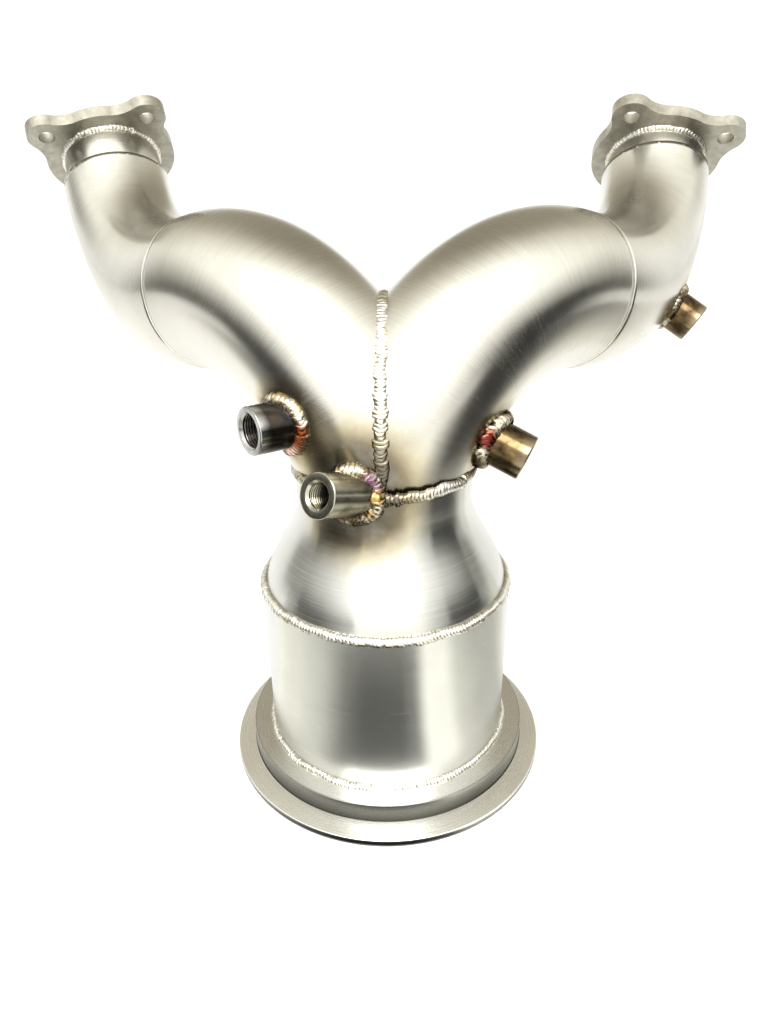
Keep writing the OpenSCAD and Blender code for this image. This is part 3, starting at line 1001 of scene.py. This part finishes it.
# Hands of welding, as settings of bead()
STEADY = {"pitch": 1.9, "depth": 0.3, "wander": 0.16, "sway": 0.35}
LIVELY = {"pitch": 2.0, "depth": 0.3, "wander": 0.2, "sway": 0.7}
COARSE = {"pitch": 2.4, "depth": 0.34, "wander": 0.24, "sway": 0.4}
FINE = {"pitch": 1.3, "depth": 0.2, "even": 0.6}


def ring_bead(name, ring, half_width, height, style, seed):
    """Weld round a ring_path; NAME_bead replaces the CAD node NAME_weld."""
    points, normals = ring
    replaced = [name.replace("_bead", "_weld")]
    bead(name, points, normals, "weld_bead", replaced, half_width, height, seed=seed, **style)


def build_ring_welds():
    ring = ring_path(move(0, 0, HUB_H + 0.3), CAN_R + 0.3, 45)
    ring_bead("vband_bead", ring, 2.7, 1.9, LIVELY, 3)
    cone_r = cone_wall()[5][0]
    ring = ring_path(move(0, 0, CAN_TOP), (CAN_R + cone_r) / 2, 50)
    ring_bead("can_bead", ring, 2.7, 1.8, STEADY, 5)
    ring = ring_path(move(0, 0, NECK_TOP - 0.4), NECK_R + 0.2, 5)
    ring_bead("collector_bead", ring, 3.2, 2.3, LIVELY, 8)
    for name, side in SIDES.items():
        ring = ring_path(at_elbow(side, 0), PIPE_R, 0)
        ring_bead(f"{name}_seam_bead", ring, 0.9, 0.03, FINE, side + 12)
        end = at_elbow(side, ELBOW_ANGLE[side])
        ring = ring_path(end, (COLLAR_R + ELBOW_END_R) / 2, 45)
        ring_bead(f"{name}_collar_bead", ring, 2.3, 1.0, STEADY, side + 21)
        ring = ring_path(end @ move(0, 0, COLLAR_LEN[side] - 0.4), COLLAR_R + 0.4, -45)
        ring_bead(f"{name}_flange_bead", ring, 2.5, 1.7, COARSE, side + 33)


def build_merge_weld():
    """Bead over the crotch, where both pipes meet in the plane X = 0.

    Rays are shot from all round towards a point inside the pipes, just beside that plane.
    """
    skin = surface_of("right_bend_skin", "left_bend_skin")
    middle = Vector((0, 0.0, 225.0))
    beside = Vector((0.4 * MM, 0, 0))
    points, normals = [], []
    for k in range(181):
        a = math.radians(-140 + 280 * k / 180)
        out = Vector((0, math.sin(a), math.cos(a)))
        start = (middle + out * 150) * MM + beside
        hit, _, _, _ = skin.ray_cast(start, -out, 0.3)
        if hit is None or hit.z < (NECK_TOP + 1) * MM:
            continue
        points.append((0, hit.y / MM, hit.z / MM))
        normals.append(tuple(out))
    bead(
        "merge_bead",
        points,
        normals,
        "weld_bead",
        ["merge_weld"],
        4.0,
        2.5,
        2.0,
        closed=False,
        seed=14,
        depth=0.3,
        wander=0.24,
        sway=0.9,
    )


def build_bosses():
    large, small = (BOSS_D, BOSS_BORE_D), (SMALL_BOSS_D, SMALL_BOSS_BORE_D)
    bosses = {
        "left": (large, "blued_boss", ["left_bend_skin"]),
        "front": (small, "turned_boss", ["left_bend_skin", "cone_skin"]),
        "right": (large, "bronzed_boss", ["right_bend_skin"]),
        "upper": (large, "bronzed_boss", ["right_elbow_skin"]),
    }
    for name, ((outer, bore), slot, skins) in bosses.items():
        target = surface_of(*skins)
        build_boss(name, outer, bore, slot, target)
        build_boss_bead(name, outer / 2, target)


# How far each bead climbs the boss wall, then its half width and height, in millimetres
BEAD_CLIMB = {"left": 1.2, "front": 3.2, "right": 2.6, "upper": 0.9}
BEAD_SIZE = {"left": (4.1, 2.9), "front": (3.9, 2.7), "right": (4.0, 2.9), "upper": (3.1, 2.1)}


def build_boss_bead(name, radius, target):
    """Broad, uneven bead leaning on the boss wall."""
    place = boss_frame(name)
    axis = place.to_3x3() @ Vector((0, 0, 1))
    feet = [f for f in feet_on(place, radius + 1.2, target, 96) if f]
    points = [f[0] + axis * BEAD_CLIMB[name] for f in feet]
    centre = sum(points, Vector()) / len(points)
    normals = []
    for point, (_, normal) in zip(points, feet):
        out = point - centre
        out = (out - axis * out.dot(axis)).normalized()
        normals.append((normal * 0.5 + axis * 0.35 + out * 0.9).normalized())
    bead(
        f"{name}_boss_bead",
        points,
        normals,
        "tinted_weld",
        [f"{name}_boss_weld"],
        *BEAD_SIZE[name],
        2.3,
        seed=41 + len(name),
        depth=0.26,
        wander=0.22,
        chevron=1.6,
        sway=0.5,
    )


def drill_sensor_holes():
    """Opens the pipe under each large boss."""
    drilled = {"left": "left_bend_skin", "right": "right_bend_skin", "upper": "right_elbow_skin"}
    for name, skin in drilled.items():
        drill(bpy.data.objects[skin], boss_frame(name), BOSS_BORE_D / 2, -BOSS_H[name] - 12, 0)


# ---- Studio -------------------------------------------------------------------------------


def build_floor():
    mesh = bpy.data.meshes.new("floor")
    size = 6.0
    corners = [(-size, -size, 0), (size, -size, 0), (size, size, 0), (-size, size, 0)]
    mesh.from_pydata(corners, [], [(0, 1, 2, 3)])
    floor = bpy.data.objects.new("floor", mesh)
    floor.location.z = cad_low.z - 0.2 * MM
    bpy.context.scene.collection.objects.link(floor)
    material, tree, shader = start_material("pale_floor", metallic=0.0)
    paper = noise_at(tree, object_place(tree), 60.0, 3.0)
    feed(
        tree,
        shader,
        colour=ramp(tree, paper, [(0.3, (0.87, 0.875, 0.90)), (0.7, (0.89, 0.895, 0.92))]),
    )
    shader.inputs["Roughness"].default_value = 0.7
    floor.data.materials.append(material)


def soft_light(name, place, target, size, power):
    light = bpy.data.lights.new(name, "AREA")
    light.shape = "RECTANGLE"
    light.size, light.size_y = size
    light.energy = power
    lamp = bpy.data.objects.new(name, light)
    lamp.location = place
    aim = Vector(target) - Vector(place)
    lamp.rotation_euler = aim.to_track_quat("-Z", "Y").to_euler()
    bpy.context.scene.collection.objects.link(lamp)


WORLD_PEAK = 1.75  # strength of the brightest part of the surroundings
DIM_WAY = (0.0, 0.743, 0.669)  # the middle of the dimmer patch, high up at the back


def build_world():
    """Bright above the camera, dim high at the back, white round the far horizon.

    Only steel and floor see this room; behind the object the picture stays plain white.
    """
    world = bpy.data.worlds.new("studio")
    world.use_nodes = True
    tree = world.node_tree
    sky = tree.nodes["Background"]
    sky.inputs["Strength"].default_value = WORLD_PEAK
    way = add(tree, "ShaderNodeTexCoord").outputs["Generated"]
    split = add(tree, "ShaderNodeSeparateXYZ", {0: way})
    back, height = split.outputs["Y"], split.outputs["Z"]
    near = add(tree, "ShaderNodeVectorMath", {0: way, 1: DIM_WAY}, operation="DOT_PRODUCT")
    dome = ramp(
        tree,
        near.outputs["Value"],
        [
            (0.58, (0.72, 0.715, 0.66)),
            (0.68, (0.62, 0.61, 0.555)),
            (0.79, (0.50, 0.48, 0.42)),
            (0.86, (0.35, 0.33, 0.275)),
            (0.95, (0.25, 0.232, 0.185)),
        ],
    )
    front = spread(tree, back, 0.15, -0.45, 0.0, 1.0)
    dome = blend_colours(tree, front, dome, (1.0, 0.995, 0.96))
    low = spread(tree, height, 0.5, 0.08, 0.0, 1.0)
    side_dimming = sums(
        tree,
        "MULTIPLY",
        spread(tree, back, 0.65, 0.3, 0.0, 0.88),
        spread(tree, back, -0.5, -0.85, 1.0, 0.15),
    )
    unlit = sums(tree, "MULTIPLY", low, side_dimming)
    dome = blend_colours(tree, unlit, dome, (0.02, 0.019, 0.013))
    skyline = spread(tree, height, 0.30, 0.13, 0.0, 1.0)
    far = sums(tree, "MULTIPLY", skyline, spread(tree, back, 0.35, 0.75, 0.0, 1.0))
    shown = blend_colours(tree, far, dome, (0.68, 0.68, 0.675))
    tree.links.new(shown, sky.inputs["Color"])
    plain = add(tree, "ShaderNodeBackground", {"Color": (1, 1, 1, 1), "Strength": 1.0})
    seen = add(tree, "ShaderNodeLightPath").outputs["Is Camera Ray"]
    both = add(tree, "ShaderNodeMixShader", {0: seen, 1: sky.outputs[0], 2: plain.outputs[0]})
    tree.links.new(both.outputs[0], tree.nodes["World Output"].inputs["Surface"])
    bpy.context.scene.world = world


def compass(degrees, apart, height=0.0):
    """Point at a compass angle from +Y towards +X."""
    a = math.radians(degrees)
    return (math.sin(a) * apart, math.cos(a) * apart, height)


def reflector(name, rows, shades):
    """Matt studio card that only steel surfaces see, as a reflection; one shade per point."""
    rows = np.array(rows, float)
    across, along = rows.shape[:2]
    index = np.arange(across * along).reshape(across, along)
    quads = []
    for i in range(across - 1):
        for j in range(along - 1):
            corners = (index[i, j], index[i, j + 1], index[i + 1, j + 1], index[i + 1, j])
            quads.append([int(k) for k in corners])
    mesh = bpy.data.meshes.new(name)
    mesh.from_pydata(rows.reshape(-1, 3).tolist(), [], quads)
    store = mesh.attributes.new("shade", "FLOAT", "POINT")
    store.data.foreach_set("value", np.array(shades, float).ravel())
    card = bpy.data.objects.new(name, mesh)
    bpy.context.scene.collection.objects.link(card)
    material, tree, shader = start_material(name, metallic=0.0)
    felt = noise_at(tree, object_place(tree), 8.0, 2.0)
    shade = add(tree, "ShaderNodeAttribute", attribute_name="shade").outputs["Fac"]
    uneven = sums(tree, "MULTIPLY", shade, spread(tree, felt, 0.3, 0.7, 0.85, 1.1))
    warm = blend_colours(tree, 1.0, (1.0, 1.0, 0.96), uneven, "MULTIPLY")
    feed(tree, shader, colour=warm)
    shader.inputs["Roughness"].default_value = 0.95
    card.data.materials.append(material)
    card.visible_camera = False
    card.visible_diffuse = False
    card.visible_shadow = False


# Shade of the floor's reflection by compass angle, close to the object and further out
NEAR_SHADES = {
    56: 0.90,
    78: 0.55,
    100: 0.54,
    122: 0.68,
    133: 0.98,
    148: 0.95,
    157: 0.16,
    168: 0.02,
    186: 0.01,
    196: 0.03,
    208: 0.18,
    226: 0.60,
    246: 0.85,
    278: 0.95,
}
FAR_SHADES = {
    70: 0.70,
    84: 0.12,
    96: 0.015,
    118: 0.015,
    134: 0.35,
    148: 0.90,
    200: 0.90,
    218: 0.40,
    234: 0.06,
    248: 0.05,
    262: 0.15,
    278: 0.75,
}


def floor_card():
    """Ring on the floor in front and at the sides, starting at the rim of the V-band lip."""
    angles = list(range(60, 277, 3))
    near = np.interp(angles, list(NEAR_SHADES), list(NEAR_SHADES.values()))
    far = np.interp(angles, list(FAR_SHADES), list(FAR_SHADES.values()))
    rings = ((0.0945, near), (0.27, near), (0.37, far), (1.4, far))
    rows = [[compass(a, apart, 0.0005) for a in angles] for apart, _ in rings]
    reflector("floor_card", rows, [shade for _, shade in rings])


def upright_card(name, start, end, apart, top, shade):
    """Standing card between two compass angles, at a distance and up to a height in metres."""
    angles = np.linspace(start, end, 9)
    rows = [[compass(a, apart, z) for a in angles] for z in (0.0, top)]
    reflector(name, rows, [[shade] * len(angles)] * 2)


def build_studio():
    build_world()
    heart = (0.0, 0.05, 0.2)
    soft_light("key", (0.0, -1.0, 1.5), heart, (1.7, 0.9), 22)
    floor_card()
    upright_card("right_card", 86, 122, 1.4, 0.42, 0.015)
    upright_card("left_card", 205, 262, 1.4, 0.30, 0.04)


def build_camera():
    focal_pixels = 770.0
    frame_height = 1024
    pitch, yaw, roll = math.radians(26.07), math.radians(-0.25), math.radians(-0.8)
    ahead = Vector(
        (math.sin(yaw) * math.cos(pitch), math.cos(yaw) * math.cos(pitch), -math.sin(pitch))
    )
    level = Vector((math.cos(yaw), -math.sin(yaw), 0))
    above = level.cross(ahead)
    right = level * math.cos(roll) + above * math.sin(roll)
    up = above * math.cos(roll) - level * math.sin(roll)
    stand = Matrix.Identity(4)
    for column, axis in enumerate((right, up, -ahead)):
        stand.col[column].xyz = axis
    stand.translation = Vector((1.18, -385.17, 341.85)) * MM
    about = Matrix.Rotation(math.radians(2.25), 4, "Z")
    data = bpy.data.cameras.new("camera")
    data.sensor_fit = "AUTO"
    data.sensor_width = 36.0
    data.lens = 36.0 * focal_pixels / frame_height
    data.clip_start = 0.01
    camera = bpy.data.objects.new("camera", data)
    camera.matrix_world = about @ stand
    bpy.context.scene.collection.objects.link(camera)
    bpy.context.scene.camera = camera


build_turned_parts()
build_pipes()
dress_inlet_flanges()
build_bosses()
build_ring_welds()
build_merge_weld()
drill_sensor_holes()
build_floor()
build_studio()
build_camera()

# Bright, soft tones
display = bpy.context.scene.view_settings
display.view_transform = "Standard"
display.exposure = 0.22
display.gamma = 0.82
